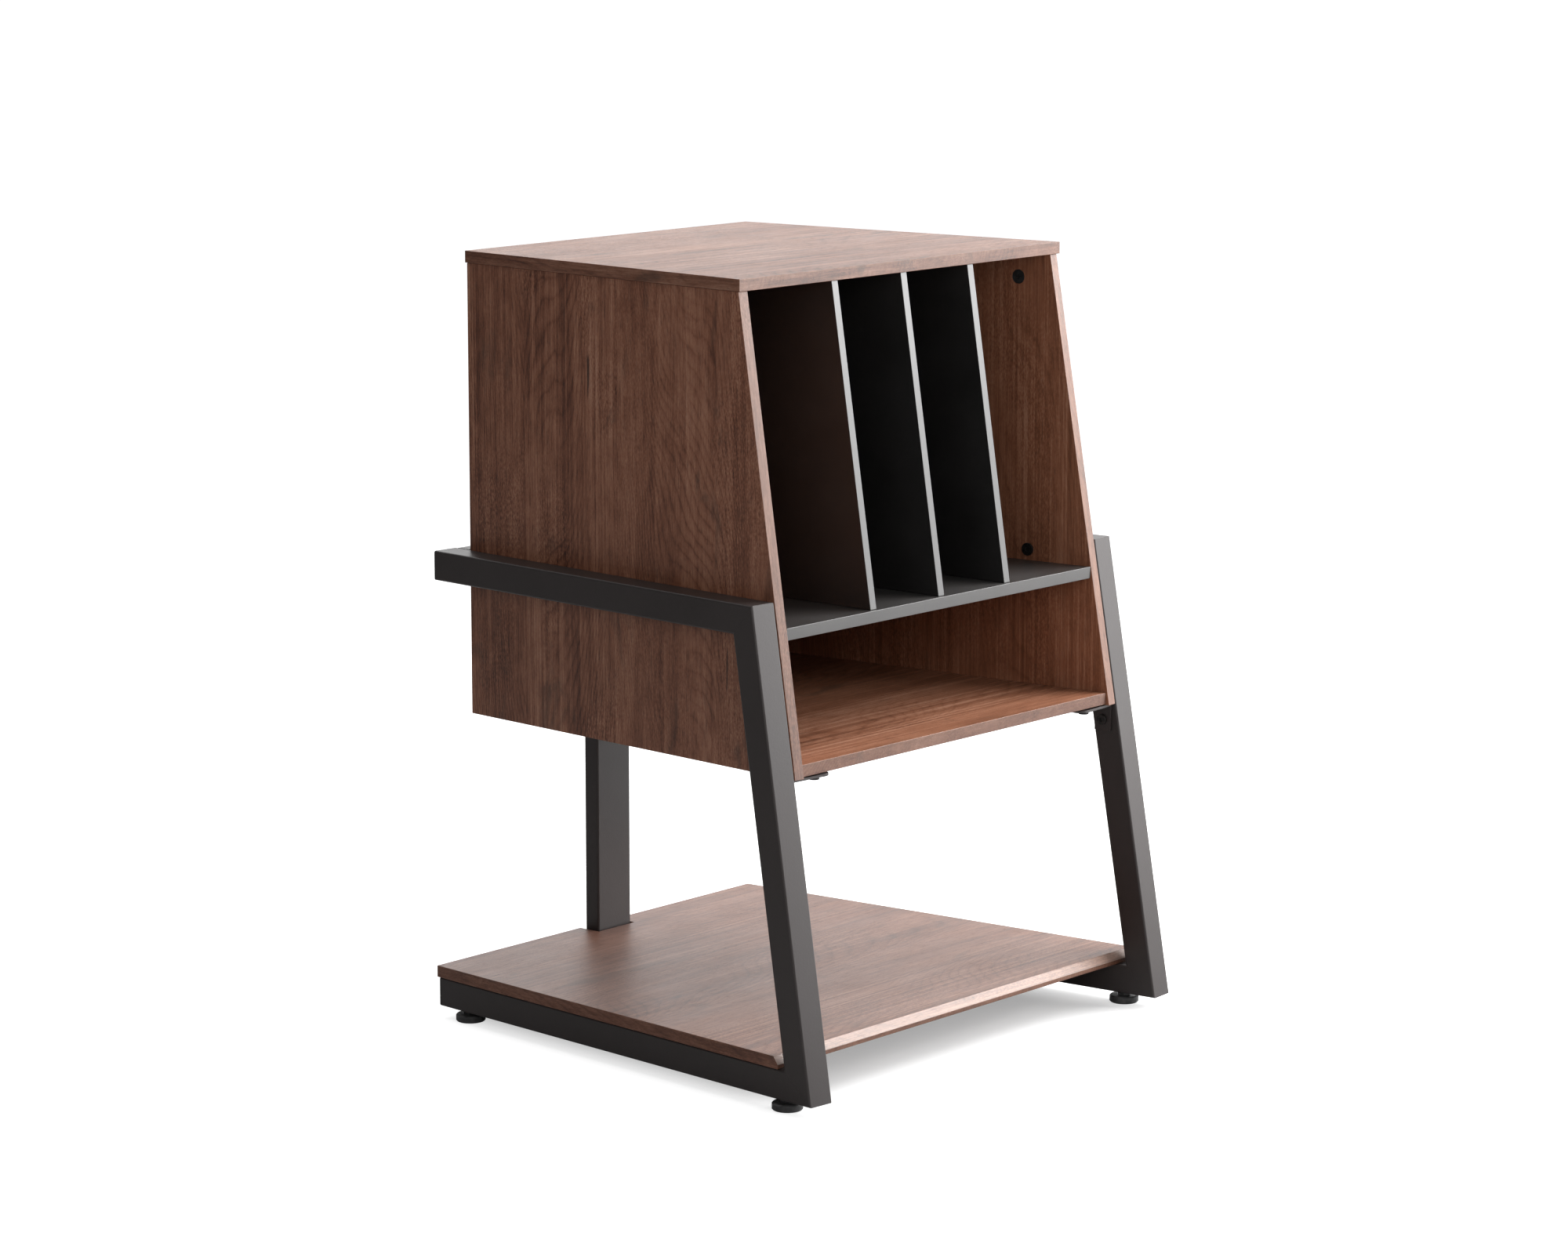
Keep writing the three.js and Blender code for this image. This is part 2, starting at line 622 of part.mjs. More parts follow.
function addSide(name, side) {
  const group = sideGroup(side);
  addPart(group, `${name}_side_panel`, sidePanel(side), walnut);
  addPart(group, `${name}_top_bar`, topBar(side), powderCoat);
  addPart(group, `${name}_leg`, leg(side), powderCoat);
  addPart(group, `${name}_bottom_bar`, bottomBar(side), powderCoat);
  addPart(group, `${name}_top_bar_cap`, endCap(side, TOP_BAR_UNDERSIDE), blackPlastic);
  addPart(group, `${name}_bottom_bar_cap`, endCap(side, FLOOR_GAP), blackPlastic);
  addBracket(group, name, side);
  for (const end of ENDS) {
    addCam(group, `${name}_${end}`, side, CAM_AT[end]);
    addPart(group, `${name}_${end}_bar_bolt`, barBolt(side, BAR_BOLT_AT[end]), blackSteel);
    addPart(group, `${name}_${end}_base_screw`, baseScrew(side, BASE_SCREW_AT[end]), zincSteel);
    addFoot(group, `${name}_${end}`, side * barMiddle, FOOT_AT[end]);
  }
}

addCabinet();
addRearMembers();
addPart(stand, "base_panel", basePanel(), walnut);
addCrossbarBolts();
for (const [name, side] of eachSide) addSide(name, side);

export default stand;
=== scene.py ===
"""Looks for the album stand: walnut laminate, black laminate, powder-coated tube, moulded plastic and
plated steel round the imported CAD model, on a plain white floor under soft studio light.

Every place comes from the frame, in metres: +Z up, the open front faces -Y.
"""
import json
import math

import bmesh
import bpy
from mathutils import Euler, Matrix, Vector


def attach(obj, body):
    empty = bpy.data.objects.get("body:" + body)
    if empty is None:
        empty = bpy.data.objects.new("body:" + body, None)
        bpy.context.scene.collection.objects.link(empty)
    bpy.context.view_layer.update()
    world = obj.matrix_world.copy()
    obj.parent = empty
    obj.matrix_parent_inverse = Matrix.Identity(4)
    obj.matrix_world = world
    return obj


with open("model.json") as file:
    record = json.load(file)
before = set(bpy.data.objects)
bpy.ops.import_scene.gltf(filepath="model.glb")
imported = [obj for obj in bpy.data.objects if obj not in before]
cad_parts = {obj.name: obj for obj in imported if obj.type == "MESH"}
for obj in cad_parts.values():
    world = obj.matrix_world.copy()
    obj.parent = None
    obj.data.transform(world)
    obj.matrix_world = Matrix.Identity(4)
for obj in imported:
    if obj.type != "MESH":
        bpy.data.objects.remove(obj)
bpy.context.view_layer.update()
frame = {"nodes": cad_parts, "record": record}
nodes = frame["nodes"]

SPLAY = math.radians(5.0)
SLANT = math.radians(9.5)
SIDES = {"left": -1, "right": 1}


# ---- shader-building helpers ----

def new_node(tree, kind, inputs=None, **settings):
    """A node with its settings, and its inputs given as values or as sockets to link."""
    node = tree.nodes.new(kind)
    for key, value in settings.items():
        setattr(node, key, value)
    for key, value in (inputs or {}).items():
        if isinstance(value, bpy.types.NodeSocket):
            tree.links.new(value, node.inputs[key])
        else:
            node.inputs[key].default_value = value
    return node


def calc(tree, operation, *values, clamp=False):
    inputs = dict(enumerate(values))
    return new_node(tree, "ShaderNodeMath", inputs, operation=operation, use_clamp=clamp).outputs[0]


def scaled(tree, vector, scale):
    node = new_node(tree, "ShaderNodeVectorMath", {0: vector, 1: scale}, operation="MULTIPLY")
    return node.outputs[0]


def noise(tree, vector, scale, detail=2.0, roughness=0.5, distortion=0.0):
    """Noise from 0 to 1, with a scale for each axis in waves per metre."""
    inputs = {
        "Vector": scaled(tree, vector, scale),
        "Scale": 1.0,
        "Detail": detail,
        "Roughness": roughness,
        "Distortion": distortion,
    }
    return new_node(tree, "ShaderNodeTexNoise", inputs).outputs["Fac"]


def remap(tree, value, low, high, to_low=0.0, to_high=1.0, smooth=True):
    inputs = {"Value": value, "From Min": low, "From Max": high, "To Min": to_low, "To Max": to_high}
    kind = "SMOOTHSTEP" if smooth else "LINEAR"
    return new_node(tree, "ShaderNodeMapRange", inputs, interpolation_type=kind).outputs["Result"]


def ramp(tree, value, stops):
    node = new_node(tree, "ShaderNodeValToRGB", {"Fac": value})
    elements = node.color_ramp.elements
    while len(elements) < len(stops):
        elements.new(1.0)
    for element, (position, colour) in zip(elements, stops):
        element.position = position
        element.color = (*colour, 1.0) if len(colour) == 3 else colour
    return node.outputs["Color"]


def grey(value):
    return (value, value, value)


def mix_colour(tree, factor, first, second):
    node = new_node(tree, "ShaderNodeMix", data_type="RGBA", blend_type="MIX")
    for index, value in ((0, factor), (6, first), (7, second)):
        if isinstance(value, bpy.types.NodeSocket):
            tree.links.new(value, node.inputs[index])
        else:
            node.inputs[index].default_value = value if index == 0 else (*value, 1.0)
    return node.outputs[2]


def bump(tree, height, distance, strength=1.0):
    inputs = {"Height": height, "Distance": distance, "Strength": strength}
    return new_node(tree, "ShaderNodeBump", inputs).outputs["Normal"]


def new_material(name):
    """An empty material's tree, its shader and a socket with the place on the object, in metres."""
    material = bpy.data.materials.new(name)
    material.use_nodes = True
    tree = material.node_tree
    shader = next(node for node in tree.nodes if node.type == "BSDF_PRINCIPLED")
    place = new_node(tree, "ShaderNodeTexCoord").outputs["Object"]
    return material, tree, shader, place


# ---- walnut laminate ----

PLANK = 0.118  # usual width of one strip of veneer
RING = 0.0058  # spacing of the growth rings
WALNUT_TONES = [
    (0.00, (0.037, 0.0100, 0.0043)),
    (0.25, (0.106, 0.0335, 0.0158)),
    (0.50, (0.200, 0.0760, 0.0405)),
    (0.75, (0.300, 0.1340, 0.0795)),
    (1.00, (0.395, 0.2070, 0.1370)),
]
SMOKE = (0.040, 0.0230, 0.0165)  # grey-green bruises in the veneer
PORE = (0.022, 0.0095, 0.0060)


def swing(tree, value, amount, low=0.25, high=0.75):
    """Spreads a noise evenly over minus amount to plus amount."""
    return remap(tree, value, low, high, -amount, amount, smooth=False)


def total(tree, *values, clamp=False):
    result = values[0]
    for value in values[1:]:
        result = calc(tree, "ADD", result, value)
    return calc(tree, "ADD", result, 0.0, clamp=True) if clamp else result


def strip_draws(tree, index, offset):
    """Three random numbers, the same all over one strip of veneer."""
    seed = calc(tree, "ADD", index, offset)
    chance = new_node(tree, "ShaderNodeTexWhiteNoise", {"W": seed}, noise_dimensions="1D")
    return new_node(tree, "ShaderNodeSeparateColor", {0: chance.outputs["Color"]}).outputs


def ring_figure(tree, place, along, index, from_middle):
    """Growth rings cut at a slant: nested arches near a strip's heart, straight lines beside it."""
    heart, lean, rise = strip_draws(tree, index, 0.0)
    shift = calc(tree, "MULTIPLY_ADD", heart, 0.15, -0.075)
    drift = calc(tree, "MULTIPLY", along, calc(tree, "MULTIPLY_ADD", lean, 0.07, -0.035))
    bend = swing(tree, noise(tree, place, (6, 2.4, 6)), 0.012)
    sideways = total(tree, from_middle, shift, drift, bend)
    radius = calc(tree, "SQRT", calc(tree, "ADD", calc(tree, "POWER", sideways, 2.0), 0.00006))
    climb = calc(tree, "MULTIPLY", along, calc(tree, "MULTIPLY_ADD", rise, 0.16, 0.10))
    heave = swing(tree, noise(tree, place, (7, 4, 7), detail=1.0), 0.012)
    wobble = swing(tree, noise(tree, place, (40, 8, 20), detail=4.0, roughness=0.6), 0.0022)
    rings = calc(tree, "DIVIDE", total(tree, radius, climb, heave, wobble), RING)
    late = ramp(tree, calc(tree, "FRACT", rings), [
        (0.00, grey(0.55)),
        (0.10, grey(0.14)),
        (0.45, grey(0.00)),
        (0.80, grey(0.38)),
        (0.93, grey(1.00)),
        (1.00, grey(0.55)),
    ])
    patchy = remap(tree, noise(tree, place, (16, 4, 9), detail=2.0), 0.40, 0.62, 0.03, 0.27)
    return calc(tree, "MULTIPLY", late, patchy)


def walnut_group():
    """Veneer figure from a place given as (across the grain, along it, through the board), in metres."""
    group = bpy.data.node_groups.new("walnut_figure", "ShaderNodeTree")
    interface = group.interface
    interface.new_socket("Place", in_out="INPUT", socket_type="NodeSocketVector")
    interface.new_socket("Colour", in_out="OUTPUT", socket_type="NodeSocketColor")
    interface.new_socket("Roughness", in_out="OUTPUT", socket_type="NodeSocketFloat")
    interface.new_socket("Height", in_out="OUTPUT", socket_type="NodeSocketFloat")
    place = new_node(group, "NodeGroupInput").outputs["Place"]
    split = new_node(group, "ShaderNodeSeparateXYZ", {0: place})
    across, along = split.outputs[0], split.outputs[1]

    uneven = calc(group, "MULTIPLY", calc(group, "SINE", calc(group, "MULTIPLY", across, 31.0)), 0.22)
    strip = calc(group, "ADD", calc(group, "DIVIDE", across, PLANK), uneven)
    index = calc(group, "FLOOR", strip)
    from_middle = calc(group, "MULTIPLY_ADD", calc(group, "FRACT", strip), PLANK, -PLANK / 2)
    tone_draw, line_draw, fleck_draw = strip_draws(group, index, 0.5)
    ring_shade = ring_figure(group, place, along, index, from_middle)

    strip_tone = calc(group, "MULTIPLY_ADD", tone_draw, 0.10, -0.05)
    bands = swing(group, noise(group, place, (26, 1.6, 10), detail=3.0), 0.17)
    streaks = swing(group, noise(group, place, (150, 5, 40), detail=4.0, roughness=0.62), 0.19)
    thread = noise(group, place, (360, 2.6, 90), detail=2.0)
    bright_lines = calc(group, "MULTIPLY", remap(group, thread, 0.53, 0.65, 0.0, 0.36), line_draw)
    dark_lines = calc(group, "MULTIPLY", remap(group, thread, 0.46, 0.36, 0.0, 0.28), line_draw)
    fibres = swing(group, noise(group, place, (850, 46, 300), detail=3.0, roughness=0.65), 0.22, 0.2, 0.8)
    speckle = swing(group, noise(group, place, (800, 260, 500), detail=3.0), 0.42, 0.2, 0.8)
    spots = noise(group, place, (17, 4.5, 10), detail=2.0)
    spot_area = calc(group, "MULTIPLY_ADD", remap(group, spots, 0.42, 0.62), fleck_draw, 0.25)
    flecks = calc(group, "MULTIPLY", speckle, spot_area)
    mottle = swing(group, noise(group, place, (60, 30, 30), detail=3.0), 0.10)

    tone = total(group, 0.575, strip_tone, bands, streaks, bright_lines, fibres, flecks, mottle)
    tone = calc(group, "SUBTRACT", tone, dark_lines)
    tone = calc(group, "SUBTRACT", tone, ring_shade, clamp=True)
    colour = ramp(group, tone, WALNUT_TONES)

    bruise = noise(group, place, (24, 8, 12), detail=5.0, roughness=0.6, distortion=0.8)
    smoke = remap(group, bruise, 0.57, 0.74, 0.0, 0.62)
    colour = mix_colour(group, smoke, colour, SMOKE)
    check = remap(group, noise(group, place, (150, 7, 60), detail=1.0), 0.775, 0.80)
    pores = remap(group, noise(group, place, (1400, 75, 400), detail=1.0), 0.62, 0.72)
    pore_pit = calc(group, "MULTIPLY", pores, 0.45)
    check_pit = calc(group, "MULTIPLY", check, 0.8)
    pit = calc(group, "MAXIMUM", pore_pit, check_pit)
    colour = mix_colour(group, pit, colour, PORE)

    smudge = noise(group, place, (30, 12, 20), detail=3.0)
    rough = calc(group, "MULTIPLY_ADD", pores, 0.12, calc(group, "MULTIPLY_ADD", smudge, 0.10, 0.39))
    height = calc(group, "SUBTRACT", calc(group, "MULTIPLY", fibres, 1.2), pit)

    output = new_node(group, "NodeGroupOutput")
    group.links.new(colour, output.inputs["Colour"])
    group.links.new(rough, output.inputs["Roughness"])
    group.links.new(height, output.inputs["Height"])
    return group


WALNUT_FIGURE = walnut_group()
# Veils, each a share and a colour, for the places where the shade differs: some give the veneer's own tone,
# and some are painted light, as marked.
FRONT_VEIL = (0.60, (0.066, 0.033, 0.021))  # front edges of the level boards
SIDE_FRONT_VEIL = (0.52, (0.120, 0.072, 0.053))  # front edges of the side panels
END_VEIL = (0.40, (0.060, 0.024, 0.014))  # ends of the level boards
CHAMFER_HIGHLIGHT_VEIL = (0.55, (0.320, 0.250, 0.215))  # the base panel's chamfer, paled as a painted highlight
INNER_PAINTED_LIGHT_VEIL = (0.35, (0.330, 0.124, 0.058))  # inner faces of the side panels, lighter and warmer: painted light inside the cubbies
FACE_VEILS = {  # broad faces of the level boards
    "top_panel": (0.22, (0.112, 0.082, 0.066)),
    # the bottom panel's veil lightens the cubby floor: painted light
    "bottom_panel": (0.12, (0.700, 0.300, 0.150)),
    # the base panel's veil quietens the figure, and greys it as a painted reflection
    "base_panel": (0.52, (0.142, 0.086, 0.068)),
}
AXIS = {"x": 0, "y": 1, "z": 2}


def walnut(name, across, along, turn=0.0, seed=0.0, veil=None, shorten=1.0):
    """Walnut with its grain along one axis, after the board's own turn about Z is taken out.
    A veil, given as a share and a colour, quietens the figure and shifts its tone. The figure can be
    shortened along the grain, as it is where an edge cuts across it."""
    material, tree, shader, place = new_material(name)
    mapping = new_node(tree, "ShaderNodeMapping", {"Vector": place, "Rotation": Euler((0.0, 0.0, -turn))})
    split = new_node(tree, "ShaderNodeSeparateXYZ", {0: mapping.outputs[0]})
    third = ({"x", "y", "z"} - {across, along}).pop()
    ordered = {index: split.outputs[AXIS[axis]] for index, axis in enumerate((across, along, third))}
    ordered_place = new_node(tree, "ShaderNodeCombineXYZ", ordered).outputs[0]
    shortened = scaled(tree, ordered_place, (1.0, shorten, 1.0))
    moved = new_node(tree, "ShaderNodeVectorMath", {0: shortened, 1: (seed, seed * 2.7, seed * 0.9)})
    figure = new_node(tree, "ShaderNodeGroup", node_tree=WALNUT_FIGURE)
    tree.links.new(moved.outputs[0], figure.inputs["Place"])
    colour = figure.outputs["Colour"]
    if veil:
        colour = mix_colour(tree, veil[0], colour, veil[1])
    tree.links.new(colour, shader.inputs["Base Color"])
    tree.links.new(figure.outputs["Roughness"], shader.inputs["Roughness"])
    tree.links.new(bump(tree, figure.outputs["Height"], 0.00012), shader.inputs["Normal"])
    shader.inputs["Specular IOR Level"].default_value = 0.5
    return material


# ---- black and metal finishes ----

def black_laminate(name, lift, specular):
    """Black laminate with the fine pebble of a pressed surface."""
    material, tree, shader, place = new_material(name)
    pebble = noise(tree, place, (900, 900, 900), detail=3.0)
    haze = noise(tree, place, (14, 14, 14), detail=4.0)
    low, high = (0.0090, 0.0083, 0.0081), (0.0130, 0.0120, 0.0117)
    stops = [(0.30, [part * lift for part in low]), (0.70, [part * lift for part in high])]
    colour = ramp(tree, haze, stops)
    tree.links.new(colour, shader.inputs["Base Color"])
    rough = remap(tree, haze, 0.3, 0.7, 0.34, 0.42, smooth=False)
    tree.links.new(rough, shader.inputs["Roughness"])
    tree.links.new(bump(tree, pebble, 0.00008, 0.6), shader.inputs["Normal"])
    shader.inputs["Specular IOR Level"].default_value = specular
    return material


def powder_coat():
    """Satin black powder coat: orange peel, with a finer grit over it."""
    material, tree, shader, place = new_material("black_powder_coat")
    peel = noise(tree, place, (420, 420, 420), detail=1.0)
    grit = noise(tree, place, (2600, 2600, 2600), detail=1.0)
    haze = noise(tree, place, (11, 11, 11), detail=4.0)
    colour = ramp(tree, haze, [(0.30, (0.0240, 0.0180, 0.0172)), (0.70, (0.0300, 0.0230, 0.0222))])
    tree.links.new(colour, shader.inputs["Base Color"])
    rough = remap(tree, haze, 0.3, 0.7, 0.40, 0.46, smooth=False)
    tree.links.new(rough, shader.inputs["Roughness"])
    surface = calc(tree, "MULTIPLY_ADD", grit, 0.25, peel)
    tree.links.new(bump(tree, surface, 0.0001, 0.5), shader.inputs["Normal"])
    return material


def black_plastic(name, lift):
    """Moulded black plastic: spark-eroded texture with worn, greyer patches."""
    material, tree, shader, place = new_material(name)
    texture = noise(tree, place, (1800, 1800, 1800), detail=2.0)
    wear = noise(tree, place, (130, 130, 130), detail=4.0)
    low, high = (0.0120, 0.0118, 0.0120), (0.0250, 0.0245, 0.0245)
    stops = [(0.35, [part * lift for part in low]), (0.75, [part * lift for part in high])]
    colour = ramp(tree, wear, stops)
    tree.links.new(colour, shader.inputs["Base Color"])
    tree.links.new(remap(tree, wear, 0.3, 0.7, 0.36, 0.50, smooth=False), shader.inputs["Roughness"])
    tree.links.new(bump(tree, texture, 0.00006, 0.6), shader.inputs["Normal"])
    return material


def blackened_steel():
    """Black-oxide steel with an uneven, slightly brown bloom."""
    material, tree, shader, place = new_material("blackened_steel")
    bloom = noise(tree, place, (260, 260, 260), detail=4.0)
    colour = ramp(tree, bloom, [(0.30, (0.020, 0.019, 0.019)), (0.75, (0.050, 0.045, 0.041))])
    tree.links.new(colour, shader.inputs["Base Color"])
    tree.links.new(remap(tree, bloom, 0.3, 0.7, 0.28, 0.42, smooth=False), shader.inputs["Roughness"])
    tree.links.new(bump(tree, bloom, 0.00005, 0.5), shader.inputs["Normal"])
    shader.inputs["Metallic"].default_value = 0.7
    return material


def zinc_plate():
    """Bright zinc with the faint spangle and yellow tint of passivated plate."""
    material, tree, shader, place = new_material("zinc_plate")
    cells = new_node(tree, "ShaderNodeTexVoronoi", {"Vector": place, "Scale": 420.0})
    spangle = cells.outputs["Distance"]
    tint = noise(tree, place, (90, 90, 90), detail=3.0)
    colour = ramp(tree, tint, [(0.30, (0.50, 0.51, 0.52)), (0.75, (0.58, 0.56, 0.50))])
    tree.links.new(colour, shader.inputs["Base Color"])
    tree.links.new(remap(tree, spangle, 0.0, 0.6, 0.26, 0.40, smooth=False), shader.inputs["Roughness"])
    tree.links.new(bump(tree, spangle, 0.00004, 0.5), shader.inputs["Normal"])
    shader.inputs["Metallic"].default_value = 1.0
    return material


# ---- putting materials and soft edges on the CAD nodes ----

DUPLICATE_REACH = 0.00002  # vertices nearer than this are one vertex
FLAT_ANGLE = math.radians(1.0)  # faces that turn less than this are one face
EDGE_ANGLE = math.radians(30.0)  # edges that turn more than this are rounded


def soften(piece, width):
    """Rounds a node's sharp edges with modifiers, and shades the rest smoothly."""
    for polygon in piece.data.polygons:
        polygon.use_smooth = True
    weld = piece.modifiers.new("weld", "WELD")
    weld.merge_threshold = DUPLICATE_REACH
    flatten = piece.modifiers.new("flatten", "DECIMATE")
    flatten.decimate_type = "DISSOLVE"
    flatten.angle_limit = FLAT_ANGLE
    edge = piece.modifiers.new("edge", "BEVEL")
    edge.width = width
    edge.segments = 2
    edge.limit_method = "ANGLE"
    edge.angle_limit = EDGE_ANGLE
    edge.use_clamp_overlap = False
    edge.harden_normals = False
    normals = piece.modifiers.new("normals", "WEIGHTED_NORMAL")
    normals.keep_sharp = True
    normals.weight = 50


def dress(name, material, width):
    piece = nodes[name]
    piece.data.materials.clear()
    piece.data.materials.append(material)
    for polygon in piece.data.polygons:
        polygon.material_index = 0
    soften(piece, width)


def dress_board(name, face, edges, thickness_axis, width, special=None, is_special=None):
    """Gives a board its face material and the edge material of the axis that each edge faces along. The
    faces whose normal passes a test can have a special material instead."""
    piece = nodes[name]
    piece.data.materials.clear()
    piece.data.materials.append(face)
    order = list(edges)
    for axis in order:
        piece.data.materials.append(edges[axis])
    if special:
        piece.data.materials.append(special)
    for polygon in piece.data.polygons:
        along_normal = {axis: abs(polygon.normal[AXIS[axis]]) for axis in AXIS}
        facing = max(along_normal, key=along_normal.get)
        polygon.material_index = 0 if facing == thickness_axis else 1 + order.index(facing)
        if special and is_special(polygon.normal):
            polygon.material_index = 1 + len(order)
    soften(piece, width)


BOARD_EDGE = 0.0005  # rounding of a board's edges
CHAMFER_TILT = 0.3  # a chamfer's normal leans at least this much both forward and up
INNER_TILT = 0.5  # an inner face's normal leans at least this much towards the middle
LEVEL_SEEDS = {"top_panel": 3.1, "bottom_panel": 9.15, "base_panel": 8.4}
SIDE_SEEDS = {"left": 7.9, "right": 4.3}
EDGE_SHORTEN = 5.0  # how much the figure is shortened on the level boards' front edges


def is_chamfer(normal):
    return normal.y < -CHAMFER_TILT and normal.z > CHAMFER_TILT


def dress_level_boards():
    for name, seed in LEVEL_SEEDS.items():
        face = walnut(f"{name}_walnut", across="y", along="x", seed=seed, veil=FACE_VEILS[name])
        front = walnut(
            f"{name}_edge_x", across="z", along="x", seed=seed + 0.4, veil=FRONT_VEIL, shorten=EDGE_SHORTEN,
        )
        end = walnut(f"{name}_edge_y", across="z", along="y", seed=seed + 0.8, veil=END_VEIL)
        edges = {"y": front, "x": end}
        if name == "base_panel":
            # The chamfer's pale veil is a painted highlight.
            chamfer = walnut(
                "base_chamfer_walnut", across="z", along="x", seed=seed + 1.2, veil=CHAMFER_HIGHLIGHT_VEIL,
            )
            dress_board(name, face, edges, "z", BOARD_EDGE, chamfer, is_chamfer)
        else:
            dress_board(name, face, edges, "z", BOARD_EDGE)


def dress_side_panels():
    for name, side in SIDES.items():
        seed = SIDE_SEEDS[name]
        turn = side * SPLAY
        face = walnut(f"{name}_side_walnut", across="y", along="z", turn=turn, seed=seed)
        # The inner faces get a lighter, warmer copy of the side walnut: painted light inside the cubbies.
        inner = walnut(
            f"{name}_inner_walnut", across="y", along="z", turn=turn, seed=seed, veil=INNER_PAINTED_LIGHT_VEIL,
        )
        front = walnut(
            f"{name}_side_edge_z",
            across="x",
            along="z",
            turn=turn,
            seed=seed + 0.4,
            veil=SIDE_FRONT_VEIL,
        )
        end = walnut(f"{name}_side_edge_y", across="x", along="y", turn=turn, seed=seed + 0.8)

        def is_inner(normal):
            return normal.x * side < -INNER_TILT

        panel = f"{name}_side_panel"
        dress_board(panel, face, {"y": front, "z": end}, "x", BOARD_EDGE, inner, is_inner)


def dress_back_panel():
    face = walnut("back_panel_walnut", across="x", along="z", seed=6.6)
    edge = walnut("back_panel_edge", across="y", along="z", seed=6.9)
    dress_board("back_panel", face, {"x": edge, "z": edge}, "y", BOARD_EDGE)


def dress_rest():
    """Dresses the shelf, the dividers, the tubes and the hardware, and gives back the tubes' coat."""
    # The shelf's laminate is lifted 3.4 times lighter than the dividers': painted light for the sheen its
    # top shows inside the bays.
    dress("middle_shelf", black_laminate("shelf_laminate", 3.4, 0.60), width=0.0005)
    laminate = black_laminate("divider_laminate", 1.0, 0.82)
    for name in ("left_divider", "centre_divider", "right_divider"):
        dress(name, laminate, width=0.0003)
    coat = powder_coat()
    plastic = black_plastic("black_plastic", 1.0)
    foot_plastic = black_plastic("foot_plastic", 3.2)
    steel = blackened_steel()
    zinc = zinc_plate()
    finishes = {
        "black_powder_coat": (coat, 0.0001),
        "black_plastic": (plastic, 0.00015),
        "blackened_steel": (steel, 0.00015),
        "zinc_plated_steel": (zinc, 0.00015),
    }
    for entry in frame["record"]["subparts"]:
        if entry["material_slot"] in finishes:
            material, width = finishes[entry["material_slot"]]
            if entry["node"].endswith("foot_pad"):
                material = foot_plastic
            dress(entry["node"], material, width)
    return coat


# ---- welds ----

WELD_GAP = 0.0003  # between the CAD model's tubes where they are welded
MITRE_REACH = 0.06  # a tube's slanted end goes back less than this from its tip
END_TILT = 0.3  # an end face's normal leans at least this much along the tube


def weld(name, tube_name, direction, coat):
    """A ring that fills the gap at a tube's end face, ground flush with the tube."""
    tube = nodes[tube_name]
    mesh = tube.data
    direction = Vector(direction).normalized()
    tip = max(vertex.co.dot(direction) for vertex in mesh.vertices)
    faces = [
        polygon for polygon in mesh.polygons
        if polygon.normal.dot(direction) > END_TILT and polygon.center.dot(direction) > tip - MITRE_REACH
    ]
    ring = bmesh.new()
    corners = {}
    for polygon in faces:
        for index in polygon.vertices:
            if index not in corners:
                corners[index] = ring.verts.new(mesh.vertices[index].co)
        ring.faces.new([corners[index] for index in polygon.vertices])
    raised = bmesh.ops.extrude_face_region(ring, geom=ring.faces[:], use_keep_orig=True)["geom"]
    lifted = [item for item in raised if isinstance(item, bmesh.types.BMVert)]
    bmesh.ops.translate(ring, vec=faces[0].normal * WELD_GAP, verts=lifted)
    bmesh.ops.recalc_face_normals(ring, faces=ring.faces[:])
    data = bpy.data.meshes.new(name)
    ring.to_mesh(data)
    ring.free()
    piece = bpy.data.objects.new(name, data)
    piece.matrix_world = tube.matrix_world
    data.materials.append(coat)
    bpy.context.scene.collection.objects.link(piece)
    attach(piece, "stand")


def add_welds(coat):
    for name, side in SIDES.items():
        weld(f"{name}_top_weld", f"{name}_leg", (0.0, math.sin(SLANT), math.cos(SLANT)), coat)
        weld(f"{name}_bottom_weld", f"{name}_leg", (0.0, -math.sin(SLANT), -math.cos(SLANT)), coat)
        for level in ("top", "bottom"):
            weld(f"{name}_{level}_crossbar_weld", f"rear_{level}_crossbar", (side, 0.0, 0.0), coat)
    weld("post_top_weld", "rear_post", (0.0, 0.0, 1.0), coat)
    weld("post_bottom_weld", "rear_post", (0.0, 0.0, -1.0), coat)


dress_level_boards()
dress_side_panels()
dress_back_panel()
add_welds(dress_rest())


# ---- stage, light and camera ----

FLOOR_SIZE = 60.0
FLOOR_DROP = 0.0005  # the floor lies this far under the feet
# The floor's glow to the eye drops to this under the object: a painted shadow, added to the floor's real
# shadow there.
FLOOR_GLOW = 0.36  # how white the floor stays in the object's own shadow
BESIDE_GLOW = 0.94  # how white it stays beside the object
SHADOW_REACH = (0.20, 0.32)  # from the middle, where the painted shadow's glow starts to rise and where it ends
WHITE_REACH = (0.45, 1.6)  # from the middle, where the floor starts to turn white and where it is white


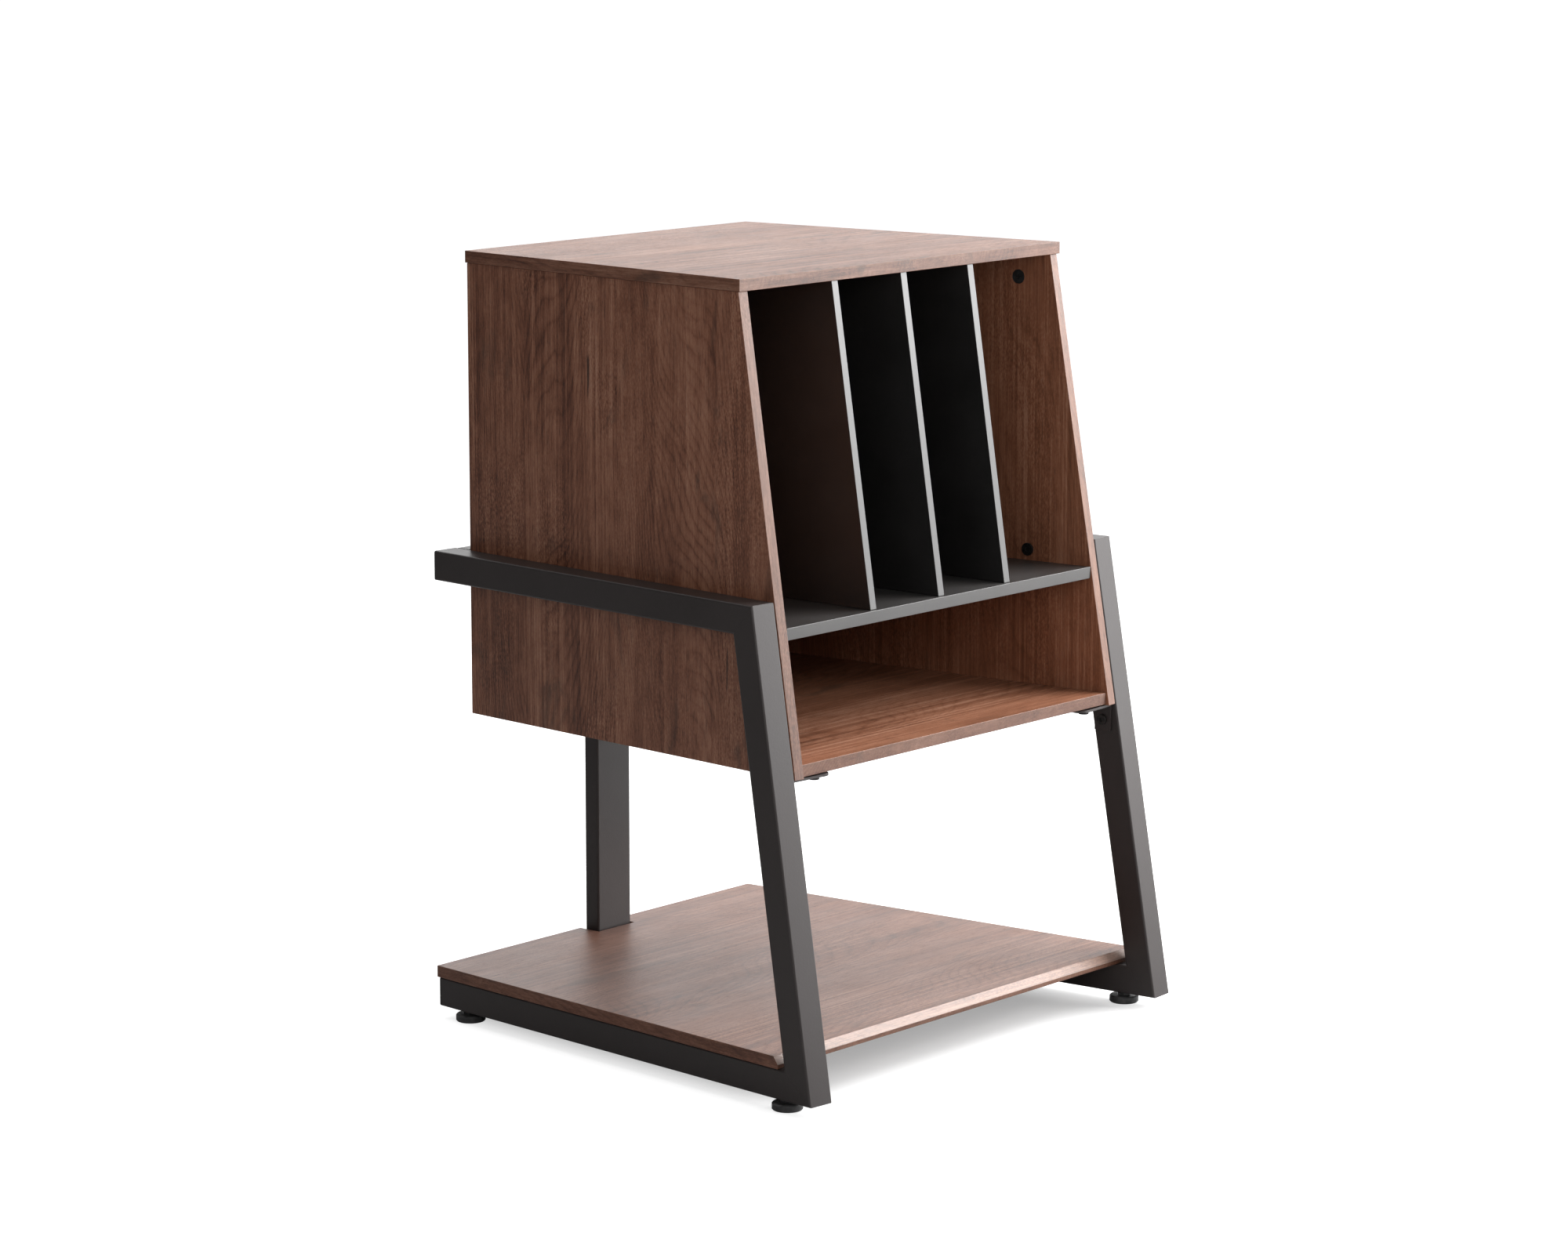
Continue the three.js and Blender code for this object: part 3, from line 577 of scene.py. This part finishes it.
def add_floor():
    """A plain white floor. To the eye it stays white far from the object, and it gives back less light
    than it shows, as a studio's dark room does. Under the object its glow to the eye is dimmed: a painted
    shadow."""
    bpy.ops.mesh.primitive_plane_add(size=FLOOR_SIZE, location=(0.0, 0.0, -FLOOR_DROP))
    floor = bpy.context.object
    floor.name = "floor"
    material, tree, shader, place = new_material("floor_white")
    seen = new_node(tree, "ShaderNodeLightPath").outputs["Is Camera Ray"]
    away = new_node(tree, "ShaderNodeVectorMath", {0: place}, operation="LENGTH").outputs["Value"]
    split = new_node(tree, "ShaderNodeSeparateXYZ", {0: place})
    sideways, back = (split.outputs[axis] for axis in (0, 1))
    splayed = calc(tree, "MULTIPLY_ADD", back, math.tan(SPLAY), calc(tree, "ABSOLUTE", sideways))
    reach = calc(tree, "MAXIMUM", splayed, calc(tree, "ABSOLUTE", back))
    beside = remap(tree, reach, *SHADOW_REACH, FLOOR_GLOW, BESIDE_GLOW)
    far = remap(tree, away, *WHITE_REACH, FLOOR_GLOW, 1.0)
    whiteness = calc(tree, "MAXIMUM", beside, far)
    tree.links.new(mix_colour(tree, seen, grey(0.45), grey(0.50)), shader.inputs["Base Color"])
    shader.inputs["Emission Color"].default_value = (1.0, 1.0, 1.0, 1.0)
    tree.links.new(calc(tree, "MULTIPLY", seen, whiteness), shader.inputs["Emission Strength"])
    shader.inputs["Roughness"].default_value = 0.9
    shader.inputs["Specular IOR Level"].default_value = 0.0
    floor.data.materials.append(material)


# name, azimuth (from +X, in degrees), distance from the Z axis, height, height it aims at, size, radiance
LIGHTS = [
    ("key_softbox", -40.0, 2.1, 2.00, 0.90, (2.2, 1.8), 5.8),
    ("key_strip", -42.0, 2.4, 1.25, 1.25, (2.2, 0.5), 12.5),
    ("arris_softbox", -23.0, 2.15, 2.05, 0.20, (1.3, 0.8), 9.0),
    ("key_card", -42.0, 2.4, 0.53, 0.53, (2.2, 0.9), 4.2),
    ("front_softbox", -90.0, 2.8, 1.70, 1.70, (2.0, 1.0), 2.9),
    ("left_softbox", -145.0, 2.9, 1.40, 1.40, (2.6, 1.4), 2.2),
    ("rear_softbox", 42.0, 2.8, 1.20, 1.20, (2.4, 1.6), 1.7),
]
TOP_LIGHT = ("top_softbox", (0.0, 0.7, 2.9), (2.4, 3.4), 1.4)  # name, place, size, radiance


def add_area_light(name, place, target, size, radiance):
    data = bpy.data.lights.new(name, "AREA")
    data.shape = "RECTANGLE"
    data.size, data.size_y = size
    data.energy = radiance * math.pi * size[0] * size[1]
    light = bpy.data.objects.new(name, data)
    light.location = place
    light.rotation_euler = (Vector(target) - Vector(place)).to_track_quat("-Z", "Y").to_euler()
    bpy.context.scene.collection.objects.link(light)
    light.visible_camera = False


def add_lights():
    for name, azimuth, distance, height, aim_height, size, radiance in LIGHTS:
        turn = math.radians(azimuth)
        place = (distance * math.cos(turn), distance * math.sin(turn), height)
        add_area_light(name, place, (0.0, 0.0, aim_height), size, radiance)
    name, place, size, radiance = TOP_LIGHT
    add_area_light(name, place, (place[0], place[1], 0.0), size, radiance)


BRIGHT_SIDE = (0.74, 0.64, 0.20)  # the direction that the room's light mostly comes from
ROOM_GLOW = 0.46
SEEN_GLOW = 1.1  # strength of the background to the eye


def add_world():
    """White to the eye. As light it is bright beyond the right rear and dim on the left."""
    world = bpy.data.worlds.new("studio")
    bpy.context.scene.world = world
    world.use_nodes = True
    tree = world.node_tree
    background = next(node for node in tree.nodes if node.type == "BACKGROUND")
    direction = new_node(tree, "ShaderNodeTexCoord").outputs["Generated"]
    towards = new_node(
        tree, "ShaderNodeVectorMath", {0: direction, 1: BRIGHT_SIDE}, operation="DOT_PRODUCT",
    )
    glow = remap(tree, towards.outputs["Value"], -0.2, 0.95, 0.0, ROOM_GLOW)
    seen = new_node(tree, "ShaderNodeLightPath").outputs["Is Camera Ray"]
    strength = calc(tree, "MAXIMUM", glow, calc(tree, "MULTIPLY", seen, SEEN_GLOW))
    background.inputs["Color"].default_value = (1.0, 1.0, 1.0, 1.0)
    tree.links.new(strength, background.inputs["Strength"])


CAMERA_PLACE = (-3.7789, -3.2283, 1.3102)
CAMERA_LOOK = Vector((0.74752, 0.64086, -0.17460))
CAMERA_LENS = 108.18  # millimetres, on a sensor of the next width
CAMERA_SENSOR = 36.0


def add_camera():
    data = bpy.data.cameras.new("camera")
    data.sensor_width = CAMERA_SENSOR
    data.lens = CAMERA_LENS
    camera = bpy.data.objects.new("camera", data)
    camera.location = CAMERA_PLACE
    camera.rotation_euler = CAMERA_LOOK.to_track_quat("-Z", "Y").to_euler()
    bpy.context.scene.collection.objects.link(camera)
    bpy.context.scene.camera = camera


add_floor()
add_world()
add_lights()
add_camera()
bpy.context.scene.view_settings.view_transform = "Standard"
